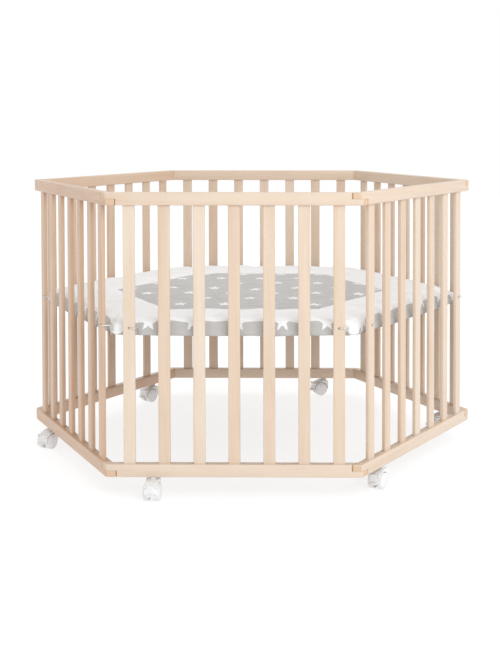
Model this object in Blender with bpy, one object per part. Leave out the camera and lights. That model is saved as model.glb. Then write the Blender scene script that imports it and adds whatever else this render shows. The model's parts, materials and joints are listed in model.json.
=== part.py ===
"""Hexagonal beech playpen on six braked twin-wheel castors, with a padded floor that has several heights.

Metres, +Z up. The front panel faces -Y and two of the pen's corners point along -X and +X. The origin
is on the ground in the middle of the footprint. A panel's own frame has X along its outer face (left
to right, seen from outside), Y inwards from that face and Z up from the bottom rail's underside.
A castor's own frame has its origin on the ground under the stem, Y towards the axle (the way the
castor trails) and X along the axle.
"""

from math import cos, pi, radians, sin, tan

import bmesh
import bpy
from mathutils import Matrix, Vector, geometry

# ---- Panels ----
SIDE = 0.595  # one panel's outer face, from corner to corner
PANEL_HIGH = 0.660  # bottom rail's underside to top rail's top
RAIL_HIGH = 0.030
RAIL_THICK = 0.022
RAIL_EASE = 0.0025  # rounding along a rail's edges
CORNER_ROUND = 0.010  # rounding of the pen's upright corners
SLATS = 7
SLAT_WIDE = 0.0275
SLAT_THICK = 0.010
SLAT_EASE = 0.002
END_SLAT = 0.0545  # a panel's corner to the middle of its first slat
SLAT_ROOT = 0.006  # depth of a slat's foot in the bottom rail
MORTISE_DEEP = 0.012  # depth of the slot in the top rail that takes a slat's head
PEG_RADIUS = 0.004  # beech peg that pins each corner lap
PEG_HIGH = 0.010
FIT = 0.0003  # gap between pieces that touch

# ---- Castors ----
WHEEL_RADIUS = 0.020
WHEEL_INNER = 0.0058  # middle of the castor to a wheel's inner face
WHEEL_TREAD = 0.0124
WHEEL_DOME = 0.0031  # how far a wheel's outer face bulges past its tread
WHEEL_EASE = 0.0014  # rounding of a wheel's rim
WHEEL_CAP = 0.0030  # what is left of a wheel over the axle's end
AXLE_RADIUS = 0.0018
TRAIL = 0.015  # stem's axis to the axle
STEM_RADIUS = 0.004
STEM_UP = 0.022  # how far the stem reaches into the bottom rail
STEM_DOWN = 0.0145  # and how far into the hood
CASTOR_FROM_CORNER = 0.109
HOOD_WIDE = 0.032
HOOD_WALL = 0.0022
HOOD_CROWN = 0.007  # how far the hood's top stands over the wheels
HOOD_LIP = 0.001  # how far the hood's lower edge hangs below the axle
HOOD_SHOULDER = 0.009  # stem's axis to the hood's front
HOOD_TAIL = 0.015  # axle to where the hood's back is cut away for the brake lever
WEB_LIP = 0.006  # how far the hood's middle plate, between the wheels, hangs below the axle
WHEEL_GAP = 0.0012  # running gap between a wheel's tread and the hood
SIDE_GAP = 0.0007  # and between its inner face and the middle plate
COLLAR_RADIUS = 0.0075
COLLAR_HIGH = 0.0044
COLLAR_ROOT = 0.004  # how deep the collar is let into the hood
SWIVEL_GAP = 0.0006  # between the collar and the bottom rail
LEVER_WIDE = 0.022
LEVER_THICK = 0.003
LEVER_ANGLE = 40.0  # of the brake lever's pivot round the axle, above the horizontal
LEVER_BARREL = 0.0022
LEVER_GAP = 0.0006  # between the lever's barrel and the arch of the hood
LEVER_REACH = 0.0065  # how far the pedal stands out past the lever
PEDAL_INSET = 0.002  # how far the pedal's ends stay inside the lever's
PIVOT_RADIUS = 0.0012
LUG_WIDE = 0.0041
LUG_WALL = 0.0014  # round the lever's barrel

# Which way each castor trails at rest, as a turn about Z from +Y.
PANELS = ("front", "front_right", "back_right", "back", "back_left", "front_left")
HEADINGS = dict(zip(PANELS, (179.0, 150.0, 108.0, 113.0, 141.0, 155.0)))

# ---- Floor and padded insert ----
FLOOR_UP = 0.3262  # bottom rail's underside to the floor board's underside, at its upper height
BOARD_THICK = 0.006
BOARD_SPACE = 0.0118  # floor board's edge to the rails' inner faces
PAD_THICK = 0.034
PAD_SPACE = 0.0057  # padded insert's edge to the rails' inner faces
PAD_CORNER = 0.030
PAD_EASE = 0.006
BATTEN_WIDE = 0.040
BATTEN_THICK = 0.018
BATTEN_OFFSET = 0.170  # pen's middle to a batten's middle
BATTEN_SHORT = 0.030  # what each batten end stops short of the board's edge
BATTEN_ROUND = 0.006
STRIP_WIDE = 0.040
STRIP_THICK = 0.006
HOOK_STEEL = 0.003
HOOK_RISE = 0.0185  # top of the hook plate to the underside of its arms
HOOK_RISER_WIDE = 0.010
HOOK_SPACE = 0.001  # between a hook and the slat or rail beside it
HOOK_PAST = 0.002  # how far a hook's tip passes the slat's middle
HOOK_PLATE_IN = 0.034  # how far a hook plate reaches in under the board
HOOK_BITE = 0.0002  # step between the faces of a hook's overlapping parts

SIXTH = radians(60.0)
APOTHEM = SIDE * cos(SIXTH / 2)  # pen's middle to a panel's outer face
PITCH = (SIDE - 2 * END_SLAT) / (SLATS - 1)
LAP = RAIL_THICK / sin(SIXTH)  # the neighbour's width, measured along a panel's face
SLANT = 1 / tan(SIXTH)  # how far the neighbour's face leans along the panel for each metre inwards
WELL_RADIUS = WHEEL_RADIUS + WHEEL_GAP
HOOD_RADIUS = WELL_RADIUS + HOOD_WALL
HOOD_TOP = 2 * WHEEL_RADIUS + HOOD_CROWN
HOOD_WEB = 2 * (WHEEL_INNER - SIDE_GAP)  # thickness of the hood's middle plate
CASTOR_HIGH = HOOD_TOP + COLLAR_HIGH + SWIVEL_GAP
PIVOT_REACH = HOOD_RADIUS + LEVER_BARREL + LEVER_GAP
PIVOT_Y = TRAIL + PIVOT_REACH * cos(radians(LEVER_ANGLE))
PIVOT_Z = WHEEL_RADIUS + PIVOT_REACH * sin(radians(LEVER_ANGLE))
LEVER_INNER = TRAIL + HOOD_RADIUS  # the lever's inner side at axle height, from the stem
PEDAL_TIP = LEVER_INNER + LEVER_THICK + LEVER_REACH
FRONT_TURN = radians(180.0 - HEADINGS["front"])
BACK_TURN = radians(180.0 - HEADINGS["back"])
RIM_SIDE = WHEEL_INNER + WHEEL_TREAD  # middle of the castor to a wheel's outer rim
FRONT_PAST = PEDAL_TIP * cos(FRONT_TURN)  # how far the front castor reaches out past its stem
BACK_PAST = RIM_SIDE * sin(BACK_TURN) + (WHEEL_RADIUS - TRAIL) * cos(BACK_TURN)  # and the back one
MIDDLE_Y = (FRONT_PAST - BACK_PAST) / 2  # the pen's middle: the castors stand out past the panels

ROUND_STEPS = 16  # sides of a turned piece
HOLE_STEPS = 12
ARCH_STEPS = 32  # sides of the full circle that the hood's arch and wells are parts of
ALONG_X = Matrix(((0, 0, 1, 0), (1, 0, 0, 0), (0, 1, 0, 0), (0, 0, 0, 1)))  # (x, y, z) to (z, x, y)


# ---- Scene, materials and small tools ----


def clear_scene():
    for obj in list(bpy.data.objects):
        bpy.data.objects.remove(obj, do_unlink=True)


def material(name, colour, roughness, metallic=0.0):
    made = bpy.data.materials.new(name)
    made.use_nodes = True
    shader = made.node_tree.nodes["Principled BSDF"]
    shader.inputs["Base Color"].default_value = (*colour, 1.0)
    shader.inputs["Roughness"].default_value = roughness
    shader.inputs["Metallic"].default_value = metallic
    made.diffuse_color = (*colour, 1.0)
    return made


def place(name, mesh, finish, parent=None, at=(0, 0, 0)):
    """An object of this mesh and material, put at a point of its parent's frame."""
    obj = bpy.data.objects.new(name, mesh)
    bpy.context.collection.objects.link(obj)
    if not mesh.materials:
        mesh.materials.append(finish)
    obj.parent = parent
    obj.location = at
    return obj


def empty(name, parent=None, at=(0, 0, 0), turn=0.0):
    obj = bpy.data.objects.new(name, None)
    bpy.context.collection.objects.link(obj)
    obj.parent = parent
    obj.location = at
    obj.rotation_euler = (0, 0, turn)
    return obj


def mesh_from(bm, name, smooth=False):
    bmesh.ops.recalc_face_normals(bm, faces=bm.faces)
    mesh = bpy.data.meshes.new(name)
    bm.to_mesh(mesh)
    bm.free()
    if smooth:
        mesh.shade_smooth()
        mesh.set_sharp_from_angle(angle=radians(35))
    return mesh


def prism(outline, low, high, turned_by=None):
    """A bmesh of a flat outline pushed up from one height to another, then turned by a matrix."""
    bm = bmesh.new()
    face = bm.faces.new([bm.verts.new((x, y, low)) for x, y in outline])
    moved = bmesh.ops.extrude_face_region(bm, geom=[face])["geom"]
    up = [v for v in moved if isinstance(v, bmesh.types.BMVert)]
    bmesh.ops.translate(bm, verts=up, vec=(0, 0, high - low))
    if turned_by:
        bmesh.ops.transform(bm, matrix=turned_by, verts=bm.verts)
    return bm


def ease_level_edges(bm, radius, segments):
    """Rounds the edges round the top and the bottom of a prism."""
    level = [e for e in bm.edges if abs(e.verts[0].co.z - e.verts[1].co.z) < 1e-6]
    bmesh.ops.bevel(bm, geom=level, offset=radius, segments=segments, profile=0.5, affect="EDGES")


def box_outline(x0, x1, y0, y1):
    return [(x0, y0), (x1, y0), (x1, y1), (x0, y1)]


def circle(x, y, radius, steps=ROUND_STEPS):
    """Points of a round outline, the first of them straight below the middle."""
    turns = [2 * pi * i / steps - pi / 2 for i in range(steps)]
    return [(x + radius * cos(a), y + radius * sin(a)) for a in turns]


def rounded(points, radii, steps=3):
    """The outline with each corner replaced by an arc of its own radius that touches both sides."""
    result = []
    for i, radius in enumerate(radii):
        corner = Vector(points[i])
        back = (Vector(points[i - 1]) - corner).normalized()
        ahead = (Vector(points[(i + 1) % len(points)]) - corner).normalized()
        if not radius:
            result.append(tuple(corner))
            continue
        half = back.angle(ahead) / 2
        middle = corner + (back + ahead).normalized() * radius / sin(half)
        start = corner + back * radius / tan(half) - middle
        swing = start.angle_signed(corner + ahead * radius / tan(half) - middle)
        for k in range(steps + 1):
            arm = start.copy()
            arm.rotate(Matrix.Rotation(-swing * k / steps, 2))
            result.append(tuple(middle + arm))
    return result


def turned(profile, steps=ROUND_STEPS, turned_by=None):
    """A bmesh of a closed profile of (radius, height) points, from the axis back to it, spun about Z."""
    bm = bmesh.new()
    verts = [bm.verts.new((0, -r, z)) for r, z in profile]
    edges = [bm.edges.new(pair) for pair in zip(verts, verts[1:])]
    bmesh.ops.spin(bm, geom=verts + edges, axis=(0, 0, 1), cent=(0, 0, 0), angle=2 * pi, steps=steps)
    bmesh.ops.remove_doubles(bm, verts=bm.verts, dist=1e-6)
    if turned_by:
        bmesh.ops.transform(bm, matrix=turned_by, verts=bm.verts)
    return bm


def merged(*parts):
    """One bmesh that holds several shapes, which stay separate bodies."""
    bm = parts[0]
    for part in parts[1:]:
        part_mesh = bpy.data.meshes.new("part")
        part.to_mesh(part_mesh)
        part.free()
        bm.from_mesh(part_mesh)
        bpy.data.meshes.remove(part_mesh)
    return bm


def combined(bm, name, *steps, smooth=False):
    """The mesh left after each (operation, bmesh) Boolean step in turn."""
    base = bpy.data.objects.new(name, mesh_from(bm, name))
    bpy.context.collection.objects.link(base)
    tools = []
    for operation, tool_bm in steps:
        tool = bpy.data.objects.new(name + "_tool", mesh_from(tool_bm, name + "_tool"))
        bpy.context.collection.objects.link(tool)
        tools.append(tool)
        boolean = base.modifiers.new(operation.title(), "BOOLEAN")
        boolean.operation = operation
        boolean.solver = "EXACT"
        boolean.object = tool
    bpy.context.view_layer.update()
    graph = bpy.context.evaluated_depsgraph_get()
    mesh = bpy.data.meshes.new_from_object(base.evaluated_get(graph))
    mesh.name = name
    for helper in (base, *tools):
        bpy.data.objects.remove(helper, do_unlink=True)
    if smooth:
        mesh.shade_smooth()
        mesh.set_sharp_from_angle(angle=radians(35))
    return mesh


# ---- Panels ----


def slat_places():
    return [END_SLAT - SIDE / 2 + PITCH * i for i in range(SLATS)]


def rail_blank():
    """A rail before its joints are cut: it runs out to both neighbours' outer faces, all edges eased."""
    half, reach = SIDE / 2, SIDE / 2 + RAIL_THICK * SLANT
    outline = [(-half, 0), (half, 0), (reach, RAIL_THICK), (-reach, RAIL_THICK)]
    bm = prism(rounded(outline, (CORNER_ROUND, CORNER_ROUND, 0, 0), steps=4), 0, RAIL_HIGH)
    ease_level_edges(bm, RAIL_EASE, 2)
    return bm


def lap_notches():
    """What is sawn off for the corner laps: the left end's lower half and the right end's upper half."""
    shoulder = SIDE / 2 - LAP - FIT / sin(SIXTH)
    near, far = -RAIL_THICK, 2 * RAIL_THICK
    past = SIDE / 2 + 3 * RAIL_THICK
    right = [(shoulder + near * SLANT, near), (past, near), (past, far), (shoulder + far * SLANT, far)]
    left = [(-x, y) for x, y in reversed(right)]
    middle = RAIL_HIGH / 2
    upper = prism(right, middle - FIT / 2, RAIL_HIGH * 2)
    lower = prism(left, -RAIL_HIGH, middle + FIT / 2)
    return merged(upper, lower)


def lap_middle(side):
    """The middle of the corner lap at the right (+1) or left (-1) end."""
    return side * (SIDE / 2 - RAIL_THICK * SLANT / 2), RAIL_THICK / 2


def lap_peg():
    x, y = lap_middle(1)
    return prism(circle(x, y, PEG_RADIUS, HOLE_STEPS), RAIL_HIGH / 4, RAIL_HIGH / 2 + PEG_HIGH)


def peg_hole():
    x, y = lap_middle(-1)
    return prism(circle(x, y, PEG_RADIUS + FIT, HOLE_STEPS), 0, RAIL_HIGH / 2 + PEG_HIGH + FIT)


def slat_outline(x, spare=0.0, ease=SLAT_EASE):
    wide, thick = SLAT_WIDE / 2 + spare, SLAT_THICK / 2 + spare
    middle = RAIL_THICK / 2
    corners = box_outline(x - wide, x + wide, middle - thick, middle + thick)
    return rounded(corners, (ease,) * 4, steps=1) if ease else corners


def top_rail_mesh():
    slots = [prism(slat_outline(x, FIT, 0), -RAIL_HIGH, MORTISE_DEEP) for x in slat_places()]
    joints = merged(lap_notches(), *slots)
    steps = (("DIFFERENCE", joints), ("DIFFERENCE", peg_hole()), ("UNION", lap_peg()))
    return combined(rail_blank(), "top_rail", *steps, smooth=True)


def slatted_rail_mesh():
    """A bottom rail with its slats glued in, and the blind hole for a castor's stem."""
    head = PANEL_HIGH - RAIL_HIGH + MORTISE_DEEP - FIT
    slats = [prism(slat_outline(x), RAIL_HIGH - SLAT_ROOT, head) for x in slat_places()]
    stem_x = CASTOR_FROM_CORNER - SIDE / 2
    stem_bore = circle(stem_x, RAIL_THICK / 2, STEM_RADIUS + FIT, HOLE_STEPS)
    stem_hole = prism(stem_bore, -RAIL_HIGH, STEM_UP + FIT)
    steps = (
        ("DIFFERENCE", merged(lap_notches(), stem_hole)),
        ("DIFFERENCE", peg_hole()),
        ("UNION", merged(lap_peg(), *slats)),
    )
    return combined(rail_blank(), "slatted_rail", *steps, smooth=True)


def panel_frames(pen):
    """One empty for each panel, at the bottom rail's underside in the middle of the outer face."""
    frames = {}
    for i, panel in enumerate(PANELS):
        turn = SIXTH * i
        at = (APOTHEM * sin(turn), -APOTHEM * cos(turn), CASTOR_HIGH)
        frames[panel] = empty("panel_" + panel, pen, at, turn)
    return frames


def make_panels(frames, beech):
    top, slatted = top_rail_mesh(), slatted_rail_mesh()
    for panel, frame in frames.items():
        place("top_rail_" + panel, top, beech, frame, (0, 0, PANEL_HIGH - RAIL_HIGH))
        place("slatted_rail_" + panel, slatted, beech, frame)


# ---- Castors ----


def stem_mesh():
    low, high = CASTOR_HIGH - STEM_DOWN, CASTOR_HIGH + STEM_UP
    tip = STEM_RADIUS / 4
    profile = [(0, low), (STEM_RADIUS, low), (STEM_RADIUS, high - tip), (STEM_RADIUS - tip, high), (0, high)]
    return mesh_from(turned(profile, HOLE_STEPS), "castor_stem", smooth=True)


def wheel_mesh(side):
    """A wheel turned round the axle, its bore open towards the castor's middle. side is -1 or +1."""
    rim, ease, bore = WHEEL_RADIUS, WHEEL_EASE, AXLE_RADIUS + FIT
    face, outer = WHEEL_INNER, WHEEL_INNER + WHEEL_TREAD
    capped = outer + WHEEL_DOME - WHEEL_CAP
    hollow = [(0, capped), (bore, capped), (bore, face)]
    tread = [(rim - ease, face), (rim, face + ease), (rim, outer - ease), (rim - ease, outer)]
    dome_turns = [pi / 2 * i / 3 for i in (1, 2, 3)]
    dome = [((rim - ease) * cos(a), outer + WHEEL_DOME * sin(a)) for a in dome_turns]
    profile = [(r, side * h) for r, h in (*hollow, *tread, *dome)]
    return mesh_from(turned(profile, turned_by=ALONG_X), "castor_wheel", smooth=True)


def axle_mesh():
    end = WHEEL_INNER + WHEEL_TREAD + WHEEL_DOME - WHEEL_CAP - FIT
    rod = prism(circle(0, 0, AXLE_RADIUS, HOLE_STEPS), -end, end, ALONG_X)
    return mesh_from(rod, "castor_axle", smooth=True)


def hood_outline():
    """Side view of the hood: an arch round the wheels with a shoulder that rises to the stem's collar."""
    low = WHEEL_RADIUS - WEB_LIP
    arch = [p for p in circle(TRAIL, WHEEL_RADIUS, HOOD_RADIUS, ARCH_STEPS) if p[1] > low]
    knee = HOOD_SHOULDER / 2
    bend = circle(knee - HOOD_SHOULDER, HOOD_TOP - knee, knee)
    bend = [p for p in bend if p[0] < knee - HOOD_SHOULDER + 1e-6 and p[1] > HOOD_TOP - knee - 1e-6]
    foot = [(-HOOD_SHOULDER, low), (TRAIL, low)]
    points = [Vector(p) for p in (*arch, *bend, *foot, (COLLAR_RADIUS, HOOD_TOP))]
    return [tuple(points[i]) for i in geometry.convex_hull_2d(points)]


def both_sides(outline, near, far):
    """The outline pushed along X from near to far, and the same mirrored to -X, as two bodies."""
    return merged(prism(outline, near, far, ALONG_X), prism(outline, -far, -near, ALONG_X))


def hood_mesh():
    body = prism(hood_outline(), -HOOD_WIDE / 2, HOOD_WIDE / 2, ALONG_X)
    web, past = HOOD_WEB / 2, HOOD_WIDE
    collar = prism(circle(0, 0, COLLAR_RADIUS), HOOD_TOP - COLLAR_ROOT, HOOD_TOP + COLLAR_HIGH)
    lug = circle(PIVOT_Y, PIVOT_Z, LEVER_BARREL + LUG_WALL, HOLE_STEPS)
    lug_in = LEVER_WIDE / 2 + FIT
    well = circle(TRAIL, WHEEL_RADIUS, WELL_RADIUS, ARCH_STEPS)
    skirt = box_outline(-past, 2 * past, -past, WHEEL_RADIUS - HOOD_LIP)
    tail = box_outline(TRAIL + HOOD_TAIL, 2 * past, -past, PIVOT_Z - LEVER_BARREL / 2)
    stem_bore = circle(0, 0, STEM_RADIUS + FIT, HOLE_STEPS)
    axle_bore = circle(TRAIL, WHEEL_RADIUS, AXLE_RADIUS + FIT, HOLE_STEPS)
    pivot_bore = circle(PIVOT_Y, PIVOT_Z, PIVOT_RADIUS + FIT, HOLE_STEPS)
    bores = (
        prism(stem_bore, CASTOR_HIGH - STEM_DOWN - FIT, CASTOR_HIGH),
        prism(axle_bore, -past, past, ALONG_X),
        prism(pivot_bore, -past, past, ALONG_X),
    )
    steps = (
        ("UNION", collar),
        ("UNION", both_sides(lug, lug_in, lug_in + LUG_WIDE)),
        ("DIFFERENCE", both_sides(well, web, past)),
        ("DIFFERENCE", both_sides(skirt, web, past)),
        ("DIFFERENCE", prism(tail, -past, past, ALONG_X)),
        ("DIFFERENCE", merged(*bores)),
    )
    return combined(body, "castor_hood", *steps, smooth=True)


def lever_mesh():
    """The brake lever about its pivot: a barrel with two stub pins, a plate down to axle height, a pedal."""
    thick, wide = LEVER_THICK, LEVER_WIDE / 2
    inner, axle = LEVER_INNER - PIVOT_Y, WHEEL_RADIUS - PIVOT_Z
    barrel = [Vector(p) for p in circle(0, 0, LEVER_BARREL, HOLE_STEPS)]
    points = [*barrel, Vector((inner, axle)), Vector((inner + thick, axle))]
    plate = [tuple(points[i]) for i in geometry.convex_hull_2d(points)]
    tip = PEDAL_TIP - PIVOT_Y
    under, ledge = axle - thick, axle + thick / 2
    corners = [(inner, under), (tip, under), (tip, axle - thick / 4), (inner + thick, ledge), (inner, ledge)]
    pedal = rounded(corners, (0, thick / 4, thick / 4, 0, 0), steps=2)
    pin_end = wide + LUG_WIDE - FIT
    pins = prism(circle(0, 0, PIVOT_RADIUS, HOLE_STEPS), -pin_end, pin_end, ALONG_X)
    pedal_end = wide - PEDAL_INSET
    steps = (("UNION", prism(pedal, -pedal_end, pedal_end, ALONG_X)), ("UNION", pins))
    return combined(prism(plate, -wide, wide, ALONG_X), "castor_brake", *steps, smooth=True)


def make_castors(pen, plastic, steel):
    stem, hood, axle, lever = stem_mesh(), hood_mesh(), axle_mesh(), lever_mesh()
    wheels = {"left": wheel_mesh(-1), "right": wheel_mesh(1)}
    along, inward = CASTOR_FROM_CORNER - SIDE / 2, RAIL_THICK / 2 - APOTHEM
    for i, panel in enumerate(PANELS):
        at = Matrix.Rotation(SIXTH * i, 3, "Z") @ Vector((along, inward, 0))
        swivel = empty("swivel_" + panel, pen, at, radians(HEADINGS[panel]))
        centre = empty("axle_centre_" + panel, swivel, (0, TRAIL, WHEEL_RADIUS))
        place("castor_stem_" + panel, stem, steel, swivel)
        place("castor_hood_" + panel, hood, plastic, swivel)
        place("castor_axle_" + panel, axle, steel, centre)
        for side, mesh in wheels.items():
            place(f"castor_wheel_{side}_{panel}", mesh, plastic, centre)
        place("castor_brake_" + panel, lever, plastic, swivel, (0, PIVOT_Y, PIVOT_Z))


# ---- Floor ----


def hexagon(apothem):
    """Corners of a hexagon of this apothem, from the front left one round by the right."""
    radius = apothem / cos(SIXTH / 2)
    turns = [SIXTH * (i - 2) for i in range(6)]
    return [(radius * cos(a), radius * sin(a)) for a in turns]


def board_mesh(side):
    """Half of the floor board: the seam runs from front to back through the middle. side is -1 or +1."""
    edge = RAIL_THICK + BOARD_SPACE
    corners = hexagon(APOTHEM - edge)
    right = [c for c in corners if c[0] > 0]
    outline = [(FIT / 2, right[0][1]), *right, (FIT / 2, right[-1][1])]
    outline = [(side * x, y) for x, y in outline]
    return mesh_from(prism(outline, 0, BOARD_THICK), "floor_board")


def batten_mesh():
    apothem = APOTHEM - RAIL_THICK - BOARD_SPACE
    end = (apothem / sin(SIXTH)) - (BATTEN_OFFSET + BATTEN_WIDE / 2) * SLANT - BATTEN_SHORT
    outline = box_outline(-end, end, -BATTEN_WIDE / 2, BATTEN_WIDE / 2)
    ends = rounded(outline, (BATTEN_ROUND,) * 4, 2)
    return mesh_from(prism(ends, -BATTEN_THICK, 0), "floor_batten")


def strip_mesh():
    wide, end = STRIP_WIDE / 2, BATTEN_OFFSET - BATTEN_WIDE / 2 - FIT
    return mesh_from(prism(box_outline(-wide, wide, -end, end), -STRIP_THICK, 0), "floor_strip")


def hook_arm(middle, turn):
    """A riser outside the padding, an arm along a slat's right edge and a tip across its outer face."""
    edge = middle + SLAT_WIDE / 2 + HOOK_SPACE
    outer = edge + HOOK_STEEL
    riser_in = RAIL_THICK + HOOK_SPACE + HOOK_STEEL
    slat_face = (RAIL_THICK - SLAT_THICK) / 2
    tip_out = slat_face - HOOK_SPACE - HOOK_STEEL
    low, high = HOOK_RISE, HOOK_RISE + HOOK_STEEL
    riser_out = riser_in - HOOK_STEEL + HOOK_BITE
    riser = box_outline(edge + HOOK_BITE, edge + HOOK_RISER_WIDE, riser_out, riser_in)
    arm = box_outline(edge, outer, tip_out, riser_in - HOOK_STEEL / 2)
    tip = box_outline(middle - HOOK_PAST, outer - HOOK_STEEL / 2, tip_out + HOOK_BITE, tip_out + HOOK_STEEL)
    to_pen = Matrix.Rotation(turn, 4, "Z") @ Matrix.Translation((0, -APOTHEM, 0))
    pieces = (
        prism(riser, -HOOK_STEEL / 2, high - HOOK_BITE, to_pen),
        prism(arm, low, high, to_pen),
        prism(tip, low + HOOK_BITE, high - HOOK_BITE, to_pen),
    )
    foot_end = edge + HOOK_RISER_WIDE + HOOK_BITE
    foot = box_outline(edge, foot_end, riser_in - HOOK_STEEL, riser_in + HOOK_PLATE_IN)
    feet = [(to_pen @ Vector((x, y, 0))).to_2d() for x, y in foot]
    return pieces, feet


def hook_mesh():
    """The hook plate at the front left corner: a plate under the board, with an arm round the last slat
    of the panel before the corner and another round the first slat of the panel after it."""
    first, last = slat_places()[0], slat_places()[-1]
    ahead, ahead_feet = hook_arm(first, 0.0)
    behind, behind_feet = hook_arm(last, -SIXTH)
    points = ahead_feet + behind_feet
    plate = [tuple(points[i]) for i in geometry.convex_hull_2d(points)]
    steps = [("UNION", merged(a, b)) for a, b in zip(ahead, behind)]
    return combined(prism(plate, -HOOK_STEEL, 0), "floor_hook", *steps)


def pad_mesh():
    outline = rounded(hexagon(APOTHEM - RAIL_THICK - PAD_SPACE), (PAD_CORNER,) * 6, 3)
    bm = prism(outline, 0, PAD_THICK)
    ease_level_edges(bm, PAD_EASE, 1)
    return mesh_from(bm, "padded_insert", smooth=True)


def make_floor(pen, beech, hardboard, steel, fabric):
    """Everything that goes up and down with the floor hangs on one empty at the board's underside."""
    floor = empty("floor_height", pen, (0, 0, CASTOR_HIGH + FLOOR_UP))
    place("floor_board_left", board_mesh(-1), hardboard, floor)
    place("floor_board_right", board_mesh(1), hardboard, floor)
    batten = batten_mesh()
    place("floor_batten_front", batten, beech, floor, (0, -BATTEN_OFFSET, -FIT))
    place("floor_batten_back", batten, beech, floor, (0, BATTEN_OFFSET, -FIT))
    place("floor_seam_strip", strip_mesh(), beech, floor, (0, 0, -FIT))
    hook = hook_mesh()
    corners = ("front_left", "front_right", "right", "back_right", "back_left", "left")
    for i, corner in enumerate(corners):
        placed = place("floor_hook_" + corner, hook, steel, floor, (0, 0, -FIT))
        placed.rotation_euler = (0, 0, SIXTH * i)
    place("padded_insert", pad_mesh(), fabric, floor, (0, 0, BOARD_THICK + FIT))


def main():
    clear_scene()
    beech = material("Beech", (0.80, 0.62, 0.45), 0.55)
    hardboard = material("Hardboard", (0.36, 0.22, 0.14), 0.75)
    plastic = material("WhitePlastic", (0.86, 0.86, 0.86), 0.30)
    steel = material("ZincSteel", (0.62, 0.62, 0.60), 0.35, 1.0)
    fabric = material("Cotton", (0.74, 0.74, 0.74), 0.90)
    pen = empty("playpen", at=(0, MIDDLE_Y, 0))
    make_panels(panel_frames(pen), beech)
    make_castors(pen, plastic, steel)
    make_floor(pen, beech, hardboard, steel, fabric)


main()
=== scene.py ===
"""Looks of a hexagonal beech playpen on castors: wood, castors, wire hooks and the quilted padded insert.

Metres, +Z up, the front panel faces -Y. A panel's own frame has X along its outer face, Y inwards and Z
up from the bottom rail's underside. A castor's own frame has its origin on the ground under the stem,
X along the axle and Y the way it trails.
"""

import json
from math import cos, pi, radians, sin, tan

import bmesh
import bpy
import numpy as np
from mathutils import Matrix, Vector, geometry


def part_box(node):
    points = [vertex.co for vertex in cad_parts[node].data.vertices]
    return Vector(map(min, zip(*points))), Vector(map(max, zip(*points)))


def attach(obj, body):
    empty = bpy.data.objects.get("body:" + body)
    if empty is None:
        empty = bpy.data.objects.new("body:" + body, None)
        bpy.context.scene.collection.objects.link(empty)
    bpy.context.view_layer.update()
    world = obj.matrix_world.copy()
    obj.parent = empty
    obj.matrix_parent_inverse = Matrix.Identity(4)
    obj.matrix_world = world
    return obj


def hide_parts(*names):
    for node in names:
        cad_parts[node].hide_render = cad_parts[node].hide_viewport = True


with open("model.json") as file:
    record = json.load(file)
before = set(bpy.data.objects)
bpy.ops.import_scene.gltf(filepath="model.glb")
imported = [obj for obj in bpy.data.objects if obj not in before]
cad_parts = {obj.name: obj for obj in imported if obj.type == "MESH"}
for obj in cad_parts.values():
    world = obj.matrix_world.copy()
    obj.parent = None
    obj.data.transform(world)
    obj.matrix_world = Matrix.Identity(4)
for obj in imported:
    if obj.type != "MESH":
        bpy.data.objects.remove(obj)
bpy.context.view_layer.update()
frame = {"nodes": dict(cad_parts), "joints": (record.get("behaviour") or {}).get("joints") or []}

PANELS = ("front", "front_right", "back_right", "back", "back_left", "front_left")
PANEL_TONES_AND_SHADE = (0.16, 0.22, 0.30, 0.28, 0.60, 0.88)  # each panel's wood, from pale (0) to tan (1): partly the wood's own tone, partly painted shade, with the left-hand panels that face away from the lights set tanner
SIXTH = pi / 3

# ---- Sizes read from the frame ----
TOP_LOW, TOP_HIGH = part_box("top_rail_front")
BACK_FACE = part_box("top_rail_back")[1].y
FRONT_FACE = TOP_LOW.y
APOTHEM = (BACK_FACE - FRONT_FACE) / 2  # pen's middle to a panel's outer face
MIDDLE = Vector((0, (BACK_FACE + FRONT_FACE) / 2, 0))
SIDE = 2 * APOTHEM * tan(SIXTH / 2)
RAIL_THICK = TOP_HIGH.y - TOP_LOW.y
RAIL_HIGH = TOP_HIGH.z - TOP_LOW.z
PANEL_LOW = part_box("slatted_rail_front")[0].z  # the bottom rails' underside
PANEL_HIGH = TOP_HIGH.z - PANEL_LOW
PAD_LOW, PAD_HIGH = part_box("padded_insert")
BOARD_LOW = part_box("floor_board_right")[0]
WHEEL_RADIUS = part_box("castor_wheel_left_front")[1].z / 2
HOOK_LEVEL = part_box("floor_hook_front_left")[1].z  # top of the hooks' arms

# ---- Wood ----
SLATS = 7
SLAT_WIDE = 0.0275
SLAT_THICK = 0.010
SLAT_ROUND = 0.0024
END_SLAT = 0.0545  # a panel's corner to the middle of its first slat
SLAT_HIDDEN = 0.002  # how far a slat runs into either rail
RAIL_EASE = 0.0026
CORNER_ROUND = 0.010
LAP_GAP = 0.0003
HOLE_RADIUS = 0.0024  # hole that takes the end of a hook
GRAIN_SEED = 11

# ---- Castors ----
HOOD_ARCH = 0.0234  # radius of the hood's arch
HOOD_WELL = 0.0216  # radius of the wells that take the wheels
HOOD_WIDE = 0.032
HOOD_WEB = 0.0102  # wall between the wells
HOOD_TOP = 0.047
HOOD_SHOULDER = 0.009
HOOD_LIP = 0.001  # how far the arch's sides come down below the axle
WEB_LIP = 0.006  # and how far the web does
HOOD_EASE = 0.0007
COLLAR_RADIUS = 0.0075
COLLAR_SUNK = 0.004  # how far the collar runs into the hood
WHEEL_INNER = 0.0058  # castor's middle to a wheel's inner face
WHEEL_OUTER = 0.0182  # and to the edge of its outer face
WHEEL_DOME = 0.0031
WHEEL_EASE = 0.0016
RING_RADIUS = 0.80  # the ring moulded into a wheel, as a share of the wheel's radius
RING_DEPTH = 0.0009
RING_WIDE = 0.0007
DIMPLE_DEPTH = 0.0007  # hollow in the middle of a wheel's face
DIMPLE_RADIUS = 0.0032
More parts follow.
